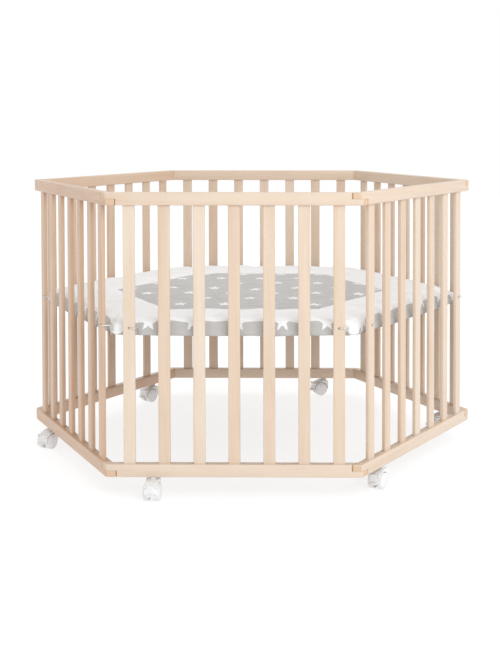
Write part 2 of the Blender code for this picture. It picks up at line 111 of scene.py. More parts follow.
EAR_WALL = 0.0014  # how much wider the ears are than the barrel between them
LEVER_WIDE = 0.022
LEVER_THICK = 0.003
LEVER_BARREL = 0.0022
LEVER_EASE = 0.0007
RIB_RADIUS = 0.0005

# ---- Wire hooks ----
WIRE = 0.0011  # radius of the hook wire
WIRE_BEND = 0.0038
TIP_BEND = 0.0009
TIP_SHORT = 0.0008  # how far the tip ends in front of the slat
HOOK_PLATE = 0.0028
PLATE_THICK = 0.0016
PLATE_ROUND = 0.003
SCREW_RADIUS = 0.0036
SCREW_RISE = 0.0013

# ---- Padded insert ----
PAD_REACH = PAD_HIGH.y - MIDDLE.y  # pen's middle to the side of the room the insert may take
PAD_SIDE = 2 * PAD_REACH * tan(SIXTH / 2)
PAD_UNDER = PAD_LOW.z + 0.0004  # the cover's underside
PAD_CORNER = 0.030
PAD_AROUND = 480  # points round each ring of the cover
PAD_TOP = PAD_HIGH.z - 0.0085  # the cover's top before it is stuffed
PAD_EASE = 0.0085
PAD_GAP = 0.0012  # cover's side inside the room the insert may take
QUILT_APOTHEM = 0.655 * PAD_REACH  # pen's middle to a side of the quilted grey hexagon
BAND_DROP = -0.0005  # from the cover's top down to the grey band round the side
HEM_THICK = 0.0045
SIDE_SAG = 0.0078  # how far the hem hangs below the board's top between the corners
CORNER_SAG = 0.0052  # and how far at the corners
WADDING_RISE = 0.0052  # most that the stuffing may lift the cover
CLOTH_STEPS = 20
SEAM_DEPTH = 0.0010  # how far the quilting seam sinks
SEAM_WIDE = 0.005
PUCKERS = 0.0004  # height of the small folds beside the seam
CREASES = 0.0004  # height of the cover's creases
BORDER_CREASES = 0.0008  # and how much higher they are outside the seam
FINE_CREASES = 0.00016
CORNER_DIP = 0.0040
RUFFLE = 0.0006  # waves in the hem and the side

# ---- Print ----
NOTCH = 0.46  # a star's notches, as a share of its reach
SIDE_STAR = 0.0215  # reach of a star on the band
SIDE_STAR_SPACE = 6 * PAD_SIDE / 32
SIDE_STAR_START = 0.006
SIDE_STAR_DROP = 0.0035  # the stars' middles lie this far below the band's top edge
SMALL_STAR = 0.0210
SMALL_STAR_SPACE = 0.1125
SMALL_STAR_START = 0.010
SMALL_STAR_ROW = 0.090
ROW_EDGE = 0.041  # where one row's edge lies in front of the pen's middle

# ---- Camera ----
CAMERA_AT = (0.2556, MIDDLE.y - 3.1855, PANEL_LOW + 0.8442)
YAW, PITCH = radians(-0.580), radians(-1.756)
LENS = 84.03
LENS_SHIFT = (-0.166, -0.373)

SIDEWAYS = Matrix(((0, 0, 1, 0), (1, 0, 0, 0), (0, 1, 0, 0), (0, 0, 0, 1)))  # (x, y, z) to (z, x, y)


# ---- Arrays and meshes ----


def moved(points, matrix):
    """Every point turned and shifted by a 4 by 4 matrix."""
    m = np.array(matrix)
    return points @ m[:3, :3].T + m[:3, 3]


def unit(vectors):
    return vectors / np.linalg.norm(vectors, axis=1, keepdims=True)


def rounded_outline(corners, radii, steps=8):
    """Outline whose corners are arcs: each arc's middle lies on the corner's bisector, radius over sine of
    half the angle from the corner, and the arc swings from one side's tangent point to the other's."""
    corners, radii = np.asarray(corners, float), np.asarray(radii, float)
    back = unit(np.roll(corners, 1, axis=0) - corners)
    ahead = unit(np.roll(corners, -1, axis=0) - corners)
    half = np.arccos((back * ahead).sum(1)) / 2
    bisector = unit(back + ahead)
    middles = corners + bisector * (radii / np.sin(half))[:, None]
    turn_from = np.arctan2(*(-bisector[:, ::-1]).T)
    swing = np.linspace(-1, 1, steps + 1)[None, :] * (pi / 2 - half)[:, None]
    turns = turn_from[:, None] + swing
    arcs = middles[:, None, :] + radii[:, None, None] * np.stack([np.cos(turns), np.sin(turns)], -1)
    return arcs.reshape(-1, 2)


def hexagon(apothem):
    """Corners of a hexagon with two sides across X, from the front left one on round by the right."""
    turns = SIXTH * (np.arange(6) - 2)
    return apothem / cos(SIXTH / 2) * np.stack([np.cos(turns), np.sin(turns)], -1)


def shrunk(outline, by):
    """The outline with every point moved inwards, square to the line through its neighbours."""
    along = unit(np.roll(outline, -1, axis=0) - np.roll(outline, 1, axis=0))
    return outline + by * np.stack([-along[:, 1], along[:, 0]], -1)


def skin(rings, closed=True, capped=True):
    """Skin over a stack of rings, an (n, m, 3) array: quads join each ring to the next one, and caps shut
    the first and the last ring. Returned as points, quads and caps."""
    n, m = rings.shape[:2]
    i = np.arange(n - 1)[:, None] * m
    j = np.arange(m if closed else m - 1)[None, :]
    k = (j + 1) % m
    quads = np.stack([i + j, i + k, i + m + k, i + m + j], -1).reshape(-1, 4)
    caps = [np.arange(m)[::-1], (n - 1) * m + np.arange(m)] if capped else []
    return rings.reshape(-1, 3), quads, caps


def placed(part, matrix):
    """A skin whose points are turned and shifted by a matrix."""
    points, quads, caps = part
    return moved(points, matrix), quads, caps


def flat_ring(outline, z):
    """The flat outline as a ring of points at one height."""
    return np.column_stack([outline, np.full(len(outline), z)])


def eased_prism(outline, low, high, ease, steps=4):
    """Skin of an outline pushed from low to high, whose rims are quarter circles: at a turn t of the
    quarter the ring lies ease * (1 - sin t) inside the end and is ease * (1 - cos t) smaller."""
    t = np.linspace(0, pi / 2, steps + 1)
    heights = np.concatenate([low + ease * (1 - np.sin(t[::-1])), high - ease * (1 - np.sin(t))])
    insets = ease * (1 - np.cos(np.concatenate([t[::-1], t])))
    rings = [flat_ring(shrunk(outline, e), z) for e, z in zip(insets, heights)]
    return skin(np.array(rings))


def turned(profile, steps=64):
    """Skin of a profile of (radius, height) pairs spun about Z: each pair becomes a ring of that radius."""
    turns = np.arange(steps) * 2 * pi / steps
    radius, height = np.asarray(profile, float).T
    x = radius[:, None] * np.cos(turns)
    y = radius[:, None] * np.sin(turns)
    return skin(np.stack([x, y, np.broadcast_to(height[:, None], x.shape)], -1), capped=False)


def bent(points, radius, steps=6):
    """A path through the points whose bends are arcs of one radius, in space: each arc leaves the incoming
    run one tangent length before the corner and is a blend of the two runs' directions."""
    points = np.asarray(points, float)
    before, corner, after = points[:-2], points[1:-1], points[2:]
    back, ahead = unit(before - corner), unit(after - corner)
    half = np.arccos(np.clip((back * ahead).sum(1), -1, 1)) / 2
    middle, across = unit(back + ahead), unit(ahead - back)
    swing = np.linspace(-1, 1, steps + 1)[None, :, None] * (pi / 2 - half)[:, None, None]
    centre = corner + middle * (radius / np.sin(half))[:, None]
    arm = -middle[:, None, :] * np.cos(swing) + across[:, None, :] * np.sin(swing)
    arcs = centre[:, None, :] + radius * arm
    return np.concatenate([points[:1], arcs.reshape(-1, 3), points[-1:]])


def tube(path, radius, sides=10):
    """Skin of a round wire along a path: each ring stands square to the path's direction there, and its
    two arms come from cross products with one fixed leaning direction."""
    along = unit(np.gradient(path, axis=0))
    first = unit(np.cross(along, (0.31, 0.52, 0.79)))
    second = np.cross(along, first)
    turns = np.arange(sides) * 2 * pi / sides
    ring = first[:, None] * np.cos(turns)[None, :, None] + second[:, None] * np.sin(turns)[None, :, None]
    return skin(path[:, None] + radius * ring)


def mesh_of(name, *skins, sharp=40.0, matrix=None):
    """One mesh of several skins: points that coincide are merged, faces point outwards and only edges
    sharper than an angle stay sharp."""
    mesh = bpy.data.meshes.new(name)
    points, loops, counts, past = [], [], [], 0
    for skin_points, quads, caps in skins:
        points.append(skin_points)
        loops += [quads.ravel() + past, *[cap + past for cap in caps]]
        counts += [np.full(len(quads), 4), np.array([len(cap) for cap in caps], int)]
        past += len(skin_points)
    points, loops, counts = np.concatenate(points), np.concatenate(loops), np.concatenate(counts)
    if matrix is not None:
        points = moved(points, matrix)
    mesh.vertices.add(len(points))
    mesh.loops.add(len(loops))
    mesh.polygons.add(len(counts))
    mesh.vertices.foreach_set("co", points.astype(np.float32).ravel())
    mesh.loops.foreach_set("vertex_index", loops.astype(np.int32))
    starts = np.concatenate([[0], np.cumsum(counts)[:-1]])
    mesh.polygons.foreach_set("loop_start", starts.astype(np.int32))
    mesh.update(calc_edges=True)
    tidy(mesh, sharp)
    return mesh


def tidy(mesh, sharp):
    """Merges points that coincide, turns the faces outwards and keeps the edges past an angle sharp."""
    bm = bmesh.new()
    bm.from_mesh(mesh)
    bmesh.ops.remove_doubles(bm, verts=bm.verts, dist=1e-6)
    bmesh.ops.recalc_face_normals(bm, faces=bm.faces)
    bm.to_mesh(mesh)
    bm.free()
    mesh.shade_smooth()
    mesh.set_sharp_from_angle(angle=radians(sharp))


def places(mesh):
    """Where the mesh's points are, as an (n, 3) array."""
    co = np.empty(len(mesh.vertices) * 3, np.float32)
    mesh.vertices.foreach_get("co", co)
    return co.reshape(-1, 3).astype(float)


def put(mesh, points):
    """Sets where the mesh's points are."""
    mesh.vertices.foreach_set("co", points.astype(np.float32).ravel())
    mesh.update()


def carried(mesh, matrix):
    """The mesh itself, with its points turned and shifted by a matrix."""
    put(mesh, moved(places(mesh), matrix))
    return mesh


def note(mesh, name, values):
    """Keeps one number or one vector for each point, under a name that materials read."""
    values = np.asarray(values, np.float32)
    if values.ndim == 1:
        mesh.attributes.new(name, "FLOAT", "POINT").data.foreach_set("value", values)
    else:
        mesh.attributes.new(name, "FLOAT_VECTOR", "POINT").data.foreach_set("vector", values.ravel())


def note_round(mesh, name, values, whole):
    """Keeps a vector for each corner of each face. Its first number runs round a closed loop of a given
    length, so in faces that straddle the loop's start the small values go one whole loop on."""
    size, loops = len(mesh.polygons), len(mesh.loops)
    corner, starts, counts = np.empty(loops, np.int32), np.empty(size, np.int32), np.empty(size, np.int32)
    mesh.loops.foreach_get("vertex_index", corner)
    mesh.polygons.foreach_get("loop_start", starts)
    mesh.polygons.foreach_get("loop_total", counts)
    values = np.asarray(values, np.float32)[corner]
    most = np.repeat(np.maximum.reduceat(values[:, 0], starts), counts)
    values[:, 0] += whole * (most - values[:, 0] > whole / 2)
    mesh.attributes.new(name, "FLOAT_VECTOR", "CORNER").data.foreach_set("vector", values.ravel())


def linked(name, data):
    """A new object in the scene."""
    obj = bpy.data.objects.new(name, data)
    bpy.context.scene.collection.objects.link(obj)
    return obj


def as_modified(obj):
    """A new mesh: the object's, as its modifiers leave it."""
    return bpy.data.meshes.new_from_object(obj.evaluated_get(bpy.context.evaluated_depsgraph_get()))


def cut(mesh, sharp, *cutters, ease=0.0):
    """The mesh with other closed meshes cut out of it in turn, and its edges then eased by a bevel."""
    base = linked(mesh.name, mesh)
    helpers = [base]
    for cutter in cutters:
        tool = linked("cutter", cutter)
        helpers.append(tool)
        boolean = base.modifiers.new("Cut", "BOOLEAN")
        boolean.operation = "DIFFERENCE"
        boolean.solver = "EXACT"
        boolean.object = tool
    if ease:
        bevel = base.modifiers.new("Ease", "BEVEL")
        bevel.width = ease
        bevel.segments = 3
        bevel.limit_method = "ANGLE"
        bevel.angle_limit = radians(40)
    bpy.context.view_layer.update()
    result = as_modified(base)
    for helper in helpers:
        bpy.data.objects.remove(helper, do_unlink=True)
    tidy(result, sharp)
    return result


def repaint(obj, finish):
    """Gives an object one material."""
    obj.data.materials.clear()
    obj.data.materials.append(finish)


def piece(name, mesh, body, finish, slot, *stands_for):
    """A new piece of the playpen: it moves with a body, and takes the place of the CAD's named solids."""
    obj = linked(name, mesh)
    repaint(obj, finish)
    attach(obj, body)
    if stands_for:
        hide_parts(*stands_for)
    return obj


# ---- Materials ----


class Finish:
    """A Principled material being wired. Each method adds a node and returns its output."""

    def __init__(self, name, **sockets):
        self.made = bpy.data.materials.new(name)
        self.made.use_nodes = True
        self.nodes = self.made.node_tree.nodes
        self.shader = self.nodes["Principled BSDF"]
        for socket, value in sockets.items():
            self.shader.inputs[socket.replace("_", " ")].default_value = value

    def wire(self, source, target):
        self.made.node_tree.links.new(source, target)

    def feed(self, target, value):
        if isinstance(value, bpy.types.NodeSocket):
            self.wire(value, target)
        else:
            target.default_value = value

    def calc(self, operation, *values):
        node = self.nodes.new("ShaderNodeMath")
        node.operation = operation
        for target, value in zip(node.inputs, values):
            self.feed(target, value)
        return node.outputs[0]

    def vector(self, operation, *values):
        node = self.nodes.new("ShaderNodeVectorMath")
        node.operation = operation
        for target, value in zip(node.inputs, values):
            self.feed(target, value)
        return node.outputs["Value" if operation == "DOT_PRODUCT" else "Vector"]

    def weighed(self, first, first_share, second, second_share):
        """The sum of two values, each times its share."""
        shares = self.calc("MULTIPLY", first, first_share), self.calc("MULTIPLY", second, second_share)
        return self.calc("ADD", *shares)

    def attribute(self, name, output="Vector"):
        node = self.nodes.new("ShaderNodeAttribute")
        node.attribute_name = name
        return node.outputs[output]

    def object_place(self):
        return self.nodes.new("ShaderNodeTexCoord").outputs["Object"]

    def parts(self, vector):
        node = self.nodes.new("ShaderNodeSeparateXYZ")
        self.wire(vector, node.inputs[0])
        return node.outputs

    def noise(self, vector, scale, detail=2.0, rough=0.5, warp=0.0):
        node = self.nodes.new("ShaderNodeTexNoise")
        settings = {"Scale": scale, "Detail": detail, "Roughness": rough, "Distortion": warp}
        for name, value in settings.items():
            node.inputs[name].default_value = value
        self.wire(vector, node.inputs["Vector"])
        return node.outputs[0]

    def fibres(self, vector, scales, detail=2.0, rough=0.5, warp=0.0):
        """Noise with its own scale along each axis."""
        return self.noise(self.vector("MULTIPLY", vector, scales), 1.0, detail, rough, warp)

    def steps(self, value, *stops):
        """A colour ramp through (place, colour) stops."""
        node = self.nodes.new("ShaderNodeValToRGB")
        ramp = node.color_ramp
        while len(ramp.elements) < len(stops):
            ramp.elements.new(0.5)
        for element, (at, colour) in zip(ramp.elements, stops):
            element.position = at
            element.color = (*colour, 1.0)
        self.wire(value, node.inputs[0])
        return node.outputs[0]

    def fade(self, value, low, high, out_low=0.0, out_high=1.0):
        """Takes low..high to out_low..out_high, and stays at the ends beyond."""
        node = self.nodes.new("ShaderNodeMapRange")
        node.interpolation_type = "SMOOTHSTEP"
        for target, given in zip(node.inputs, (value, low, high, out_low, out_high)):
            self.feed(target, given)
        return node.outputs[0]

    def mix(self, share, first, second):
        node = self.nodes.new("ShaderNodeMix")
        node.data_type = "RGBA"
        sockets = [s for s in node.inputs if s.enabled]
        for target, given in zip(sockets, (share, first, second)):
            self.feed(target, (*given, 1.0) if isinstance(given, tuple) else given)
        return [s for s in node.outputs if s.enabled][0]

    def bumps(self, height, distance, strength=1.0):
        node = self.nodes.new("ShaderNodeBump")
        node.inputs["Strength"].default_value = strength
        node.inputs["Distance"].default_value = distance
        self.wire(height, node.inputs["Height"])
        self.wire(node.outputs[0], self.shader.inputs["Normal"])

    def colour(self, value):
        self.feed(self.shader.inputs["Base Color"], value)

    def roughness(self, value):
        self.feed(self.shader.inputs["Roughness"], value)


def beech_finish():
    """Lacquered beech. "board" is a point's place in its own board (X along the grain), "grain_way" the
    board's direction, and "tone_and_shade" how pale (0) or tan (1) the board is, partly its own tone and
    partly painted shade: the panels away from the lights are set tanner."""
    f = Finish("Lacquered_beech", Roughness=0.42, Coat_Weight=0.28, Coat_Roughness=0.22)
    board = f.attribute("board")
    figure = f.fibres(board, (2.2, 42.0, 42.0), 3.0, 0.55, 0.6)
    growth = f.fibres(board, (7.0, 420.0, 420.0), 2.0, 0.6)
    pores = f.fibres(board, (210.0, 1500.0, 1500.0), 1.0)
    flecks = f.fade(pores, 0.60, 0.72)
    blotch = f.noise(board, 9.0, 2.0)
    tone_and_shade = f.attribute("tone_and_shade", "Fac")
    shade = f.weighed(figure, 0.62, growth, 0.38)
    shade = f.calc("ADD", shade, f.calc("MULTIPLY", f.calc("SUBTRACT", blotch, 0.5), 0.25))
    pale_woods = (0.685, 0.575, 0.470), (0.650, 0.532, 0.425), (0.590, 0.460, 0.345)
    tan_woods = (0.585, 0.405, 0.275), (0.540, 0.350, 0.228), (0.465, 0.283, 0.168)
    pale, tan_wood = (f.steps(shade, *zip((0.28, 0.52, 0.74), woods)) for woods in (pale_woods, tan_woods))
    # painted shade: besides the wood's own tone, this mix darkens the panels away from the lights towards
    # tan
    wood = f.mix(tone_and_shade, pale, tan_wood)
    wood = f.mix(f.calc("MULTIPLY", flecks, 0.42), wood, (0.47, 0.315, 0.200))
    normal = f.nodes.new("ShaderNodeNewGeometry").outputs["Normal"]
    facing = f.calc("ABSOLUTE", f.vector("DOT_PRODUCT", normal, f.attribute("grain_way")))
    end_grain = f.fade(facing, 0.55, 0.80)
    rings = f.fibres(board, (12.0, 330.0, 620.0), 2.0, 0.6, 0.4)
    ends = f.steps(rings, (0.35, (0.620, 0.445, 0.305)), (0.65, (0.540, 0.365, 0.238)))
    f.colour(f.mix(end_grain, wood, ends))
    f.roughness(f.fade(growth, 0.3, 0.7, 0.36, 0.50))
    relief = f.weighed(growth, 0.5, flecks, -0.6)
    f.bumps(relief, 0.00012, 0.5)
    return f.made


def hardboard_finish():
    """Brown hardboard: dense fibres at millimetre scale over a slow drift of colour."""
    f = Finish("Hardboard", Roughness=0.72)
    place = f.object_place()
    drift = f.noise(place, 14.0, 3.0)
    fibres = f.fibres(place, (900.0, 620.0, 900.0), 2.0, 0.7)
    shade = f.weighed(drift, 0.45, fibres, 0.55)
    f.colour(f.steps(shade, (0.30, (0.130, 0.062, 0.030)), (0.70, (0.235, 0.125, 0.062))))
    f.bumps(fibres, 0.0002, 0.5)
    return f.made


def nylon_finish():
    """White moulded nylon: a faint mould texture, and a colour that turns greyer within 4 mm of the ground.
    """
    f = Finish("White_nylon", Roughness=0.30, Specular_IOR_Level=0.5, Coat_Weight=0.12, Coat_Roughness=0.15)
    place = f.object_place()
    grain = f.noise(place, 2600.0, 1.0)
    drift = f.noise(place, 70.0, 3.0, 0.6)
    # greyer within the lowest 4 mm, towards the ground
    low = f.fade(f.parts(place)[2], 0.0, 0.004)
    white = f.mix(f.fade(drift, 0.3, 0.7), (0.690, 0.683, 0.678), (0.735, 0.728, 0.723))
    f.colour(f.mix(low, (0.60, 0.59, 0.58), white))
    f.roughness(f.fade(drift, 0.3, 0.7, 0.24, 0.36))
    f.bumps(grain, 0.00004, 0.4)
    return f.made


def steel_finish():
    """Zinc-plated steel: fine drawn lines, with a cloudy passivated bloom."""
    f = Finish("Zinc_plated_steel", Metallic=1.0, Roughness=0.33)
    place = f.object_place()
    bloom = f.noise(place, 190.0, 3.0, 0.6)
    drawn = f.fibres(place, (700.0, 700.0, 3200.0), 1.0)
    f.colour(f.mix(bloom, (0.56, 0.55, 0.53), (0.74, 0.73, 0.70)))
    f.roughness(f.fade(bloom, 0.3, 0.7, 0.26, 0.42))
    f.bumps(drawn, 0.00005, 0.4)
    return f.made


def star(f, x, y, reach):
    """1 inside a five-pointed star of this reach about (0, 0), 0 outside. A point's turn is folded into
    half of one ray, where the star's side is a straight line from the ray's tip to the notch beside it."""
    ray = 2 * pi / 5
    folded = f.calc("ABSOLUTE", f.calc("WRAP", f.calc("ARCTAN2", x, y), ray / 2, -ray / 2))
    away = f.calc("SQRT", f.weighed(x, x, y, y))
    tip, dent = np.array([reach, 0.0]), NOTCH * reach * np.array([cos(ray / 2), sin(ray / 2)])
    side = dent - tip
    square = np.array([side[1], -side[0]]) / np.linalg.norm(side)
    square = square if square @ tip > 0 else -square
    out = f.weighed(f.calc("COSINE", folded), float(square[0]), f.calc("SINE", folded), float(square[1]))
    distance = f.calc("SUBTRACT", f.calc("MULTIPLY", away, out), float(square @ tip))
    return f.fade(distance, 0.0004, -0.0004)


def cotton_finish():
    """Printed cotton: a grey hexagon of small white stars in a white top, and a grey band of large white
    stars round the side. "band" holds the way round the side, the height over the band's top edge and
    how far out the point is."""
    f = Finish("Printed_cotton", Roughness=0.88, Sheen_Weight=0.25, Sheen_Roughness=0.5)
    place = f.object_place()
    x, y, _ = f.parts(place)
    y = f.calc("SUBTRACT", y, MIDDLE.y)
    round_side, rise, quilt = f.parts(f.attribute("band"))

    row = f.calc("FLOOR", f.calc("DIVIDE", f.calc("ADD", y, ROW_EDGE), SMALL_STAR_ROW))
    shift = f.calc("MULTIPLY", f.calc("PINGPONG", row, 1.0), SMALL_STAR_SPACE / 2)
    across = f.calc("ADD", f.calc("SUBTRACT", x, SMALL_STAR_START), shift)
    across = f.calc("WRAP", across, SMALL_STAR_SPACE / 2, -SMALL_STAR_SPACE / 2)
    row_at = f.calc("MULTIPLY", row, SMALL_STAR_ROW)
    up = f.calc("SUBTRACT", f.calc("ADD", y, ROW_EDGE - SMALL_STAR_ROW / 2), row_at)
    small = star(f, across, up, SMALL_STAR)

    along = f.calc("SUBTRACT", round_side, SIDE_STAR_START)
    along = f.calc("WRAP", along, SIDE_STAR_SPACE / 2, -SIDE_STAR_SPACE / 2)
    large = star(f, along, f.calc("ADD", rise, SIDE_STAR_DROP), SIDE_STAR)

    inside = f.fade(quilt, -0.0006, 0.0006)
    below = f.fade(rise, 0.0005, -0.0005)
    threads = f.fibres(place, (1700.0, 260.0, 1700.0), 2.0, 0.6)
    cloudy = f.noise(place, 26.0, 3.0, 0.6)
    slub = f.weighed(threads, 0.7, cloudy, 0.3)
    folds = f.fibres(place, (7.0, 75.0, 60.0), 3.0, 0.55, 0.8)
    # painted shade: thin darker lines along the folds, in both the white and the grey, stand in for the
    # shade in the cover's creases
    painted_crease_shade = f.fade(f.calc("ABSOLUTE", f.calc("SUBTRACT", folds, 0.5)), 0.0, 0.035)
    white = f.mix(slub, (0.770, 0.768, 0.766), (0.840, 0.838, 0.836))
    white = f.mix(painted_crease_shade, (0.74, 0.74, 0.745), white)
    grey = f.mix(slub, (0.410, 0.400, 0.391), (0.490, 0.479, 0.468))
    grey = f.mix(painted_crease_shade, (0.360, 0.352, 0.345), grey)
    band_grey = f.mix(slub, (0.410, 0.397, 0.384), (0.500, 0.485, 0.469))
    top = f.mix(inside, white, f.mix(small, grey, white))
    side = f.mix(large, band_grey, white)
    f.colour(f.mix(below, top, side))
    weave = f.noise(place, 1900.0, 1.0, 0.5)
    relief = f.weighed(weave, 0.12, threads, 0.13)
    f.bumps(f.calc("ADD", relief, f.calc("MULTIPLY", folds, 1.6)), 0.0014, 0.55)
    return f.made


def floor_finish():
    """Pale and matt, and bright enough that the object's shade on it stays faint."""
    own = {"Emission_Color": (1.0, 1.0, 1.0, 1.0), "Emission_Strength": 0.74}
    grey = (0.30, 0.30, 0.30, 1.0)
    return Finish("Pale_floor", Base_Color=grey, Roughness=0.9, Specular_IOR_Level=0.1, **own).made


BEECH = beech_finish()
HARDBOARD = hardboard_finish()
NYLON = nylon_finish()
STEEL = steel_finish()
COTTON = cotton_finish()


# ---- Panels ----


def panel_matrix(i):
    """From panel i's own frame to the world."""
    turn = Matrix.Rotation(SIXTH * i, 4, "Z")
    return Matrix.Translation(MIDDLE) @ turn @ Matrix.Translation((0, -APOTHEM, PANEL_LOW))


def grained(mesh, to_board, tone_and_shade, seed):
    """Keeps each point's place in its board, shifted by a seeded draw so that no two boards match."""
    shift = np.random.default_rng(seed).uniform(-3, 3, 3)
    note(mesh, "board", moved(places(mesh), to_board) + shift)
    way = np.array(to_board.to_3x3().inverted())[:, 0]
    note(mesh, "grain_way", np.tile(way, (len(mesh.vertices), 1)))
    note(mesh, "tone_and_shade", np.full(len(mesh.vertices), tone_and_shade))


def rail_blank(name):
    """A rail before it is notched: mitred ends, rounded corners and eased edges."""
    reach = SIDE / 2 + RAIL_THICK / tan(SIXTH)
    corners = [(-SIDE / 2, 0), (SIDE / 2, 0), (reach, RAIL_THICK), (-reach, RAIL_THICK)]
    round_by = (CORNER_ROUND, CORNER_ROUND, RAIL_EASE, RAIL_EASE)
    return mesh_of(name, eased_prism(rounded_outline(corners, round_by), 0, RAIL_HIGH, RAIL_EASE))


def lap_notch(side):
    """What is sawn off one end: the upper half at the right (+1), the lower half at the left (-1)."""
    lean = 1 / tan(SIXTH)
    shoulder = SIDE / 2 - (RAIL_THICK + LAP_GAP) / sin(SIXTH)
    near, far, past = -RAIL_THICK, 2 * RAIL_THICK, SIDE / 2 + 3 * RAIL_THICK
    start, end = shoulder + near * lean, shoulder + far * lean
    corners = np.array([(start, near), (past, near), (past, far), (end, far)])
    half, spare = RAIL_HIGH / 2, RAIL_HIGH
    low, high = (half - LAP_GAP / 2, RAIL_HIGH + spare) if side > 0 else (-spare, half + LAP_GAP / 2)
    if side < 0:
        corners = corners[::-1] * (-1, 1)
    return mesh_of("notch", eased_prism(corners, low, high, 0.0, 1))


def slat_mesh(name, x):
    """A rounded slat section carried straight up from the bottom rail to the top one."""
    wide, thick, middle = SLAT_WIDE / 2, SLAT_THICK / 2, RAIL_THICK / 2
    corners = np.array([(-wide, -thick), (wide, -thick), (wide, thick), (-wide, thick)]) + (x, middle)
    outline = rounded_outline(corners, [SLAT_ROUND] * 4, 5)
    heights = np.linspace(RAIL_HIGH - SLAT_HIDDEN, PANEL_HIGH - RAIL_HIGH + SLAT_HIDDEN, 9)
    return mesh_of(name, skin(np.array([flat_ring(outline, z) for z in heights])), sharp=50)


def hook_level():
    """Height of the hooks' tips in a panel's own frame."""
    return HOOK_LEVEL - PANEL_LOW - HOOK_PLATE / 2


def hook_hole(x):
    """A round cutter through a slat's outer face, at the height of the hooks."""
    turns = np.arange(24) * 2 * pi / 24
    x, z = x + HOLE_RADIUS * np.cos(turns), hook_level() + HOLE_RADIUS * np.sin(turns)
    depth = RAIL_THICK / 2 + np.array([-SLAT_THICK, SLAT_THICK * 0.3])
    rings = [np.column_stack([x, np.full(24, y), z]) for y in depth]
    return mesh_of("hole", skin(np.array(rings)))


def make_panels():
    """Six panels: a top rail, a bottom rail and seven slats each, every board with its own grain."""
    draw = np.random.default_rng(GRAIN_SEED)
    pitch = (SIDE - 2 * END_SLAT) / (SLATS - 1)
    for i, panel in enumerate(PANELS):
        to_world = panel_matrix(i)
        from_world = to_world.inverted()
        rails = (0, "bottom_rail", "slatted_rail_"), (PANEL_HIGH - RAIL_HIGH, "top_rail", "top_rail_")
        for level, part, node in rails:
            name = f"{part}_{panel}_beech"
            mesh = cut(rail_blank(name), 30, lap_notch(1), lap_notch(-1))
            mesh = carried(mesh, to_world @ Matrix.Translation((0, 0, level)))
            # the panel's tone with its painted shade, plus this board's own random tone
            tone_and_shade = PANEL_TONES_AND_SHADE[i] + draw.uniform(0.0, 0.14)
            grained(mesh, from_world, tone_and_shade, int(draw.integers(1 << 30)))
            piece(name, mesh, "frame", BEECH, "beech", node + panel)
        for k in range(SLATS):
            x = END_SLAT - SIDE / 2 + pitch * k
            name = f"slat_{k + 1}_{panel}"
            mesh = slat_mesh(name, x)
            if k in (0, SLATS - 1):
                mesh = cut(mesh, 50, hook_hole(x))
            mesh = carried(mesh, to_world)
            tone_and_shade = PANEL_TONES_AND_SHADE[i] + draw.uniform(-0.16, 0.26)
            grained(mesh, SIDEWAYS @ from_world, tone_and_shade, int(draw.integers(1 << 30)))
            piece(name, mesh, "frame", BEECH, "beech", "slatted_rail_" + panel)


# ---- Castors ----


def castor_matrix(panel):
    """From the castor's own frame to the world, read from where its stem and axle are."""
    stem = sum(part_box("castor_stem_" + panel), Vector()) / 2
    axle = sum(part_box("castor_axle_" + panel), Vector()) / 2
    trail = Vector((axle.x - stem.x, axle.y - stem.y, 0)).normalized()
    across = Vector((trail.y, -trail.x, 0))
    turn = Matrix((across, trail, (0, 0, 1))).transposed().to_4x4()
    return Matrix.Translation((stem.x, stem.y, 0)) @ turn, Vector((axle.x - stem.x, axle.y - stem.y)).length


def arc(x, y, radius, low, high, steps):
    """Points of an arc about (x, y) from one turn to another."""
    turns = np.linspace(low, high, steps)
    return np.stack([x + radius * np.cos(turns), y + radius * np.sin(turns)], -1)


def circle(x, y, radius, steps):
    return arc(x, y, radius, 0, 2 * pi * (steps - 1) / steps, steps)


def hull(points):
    return points[geometry.convex_hull_2d([Vector(p) for p in points])]


def hood_mesh(trail):
    """The hood's side view, a hull of the arch over the wheels and the rounded shoulder under the collar,
    pushed sideways; the wheel wells are cut from both sides, and the edges are eased."""
    low = WHEEL_RADIUS - WEB_LIP
    knee = HOOD_SHOULDER * 0.6
    arch = arc(trail, WHEEL_RADIUS, HOOD_ARCH, -0.26, pi + 0.26, 72)
    bend = arc(knee - HOOD_SHOULDER, HOOD_TOP - knee, knee, pi / 2, pi, 12)
    rest = np.array([(-HOOD_SHOULDER, low), (trail, low), (COLLAR_RADIUS, HOOD_TOP)])
    outline = hull(np.concatenate([arch, bend, rest]))
    half = HOOD_WIDE / 2
    body = mesh_of("hood", eased_prism(outline, -half, half, 0.0, 1), matrix=SIDEWAYS)
    below, wide = WHEEL_RADIUS - HOOD_LIP, HOOD_WIDE
    well = circle(trail, WHEEL_RADIUS, HOOD_WELL, 72)
    skirt = np.array([(-wide, -wide), (2 * wide, -wide), (2 * wide, below), (-wide, below)])
    cutters = [
        mesh_of("well", eased_prism(line, near, far, 0.0, 1), matrix=SIDEWAYS)
        for near, far in ((HOOD_WEB / 2, wide), (-wide, -HOOD_WEB / 2))
        for line in (well, skirt)
    ]
    return cut(body, 30, *cutters, ease=HOOD_EASE)


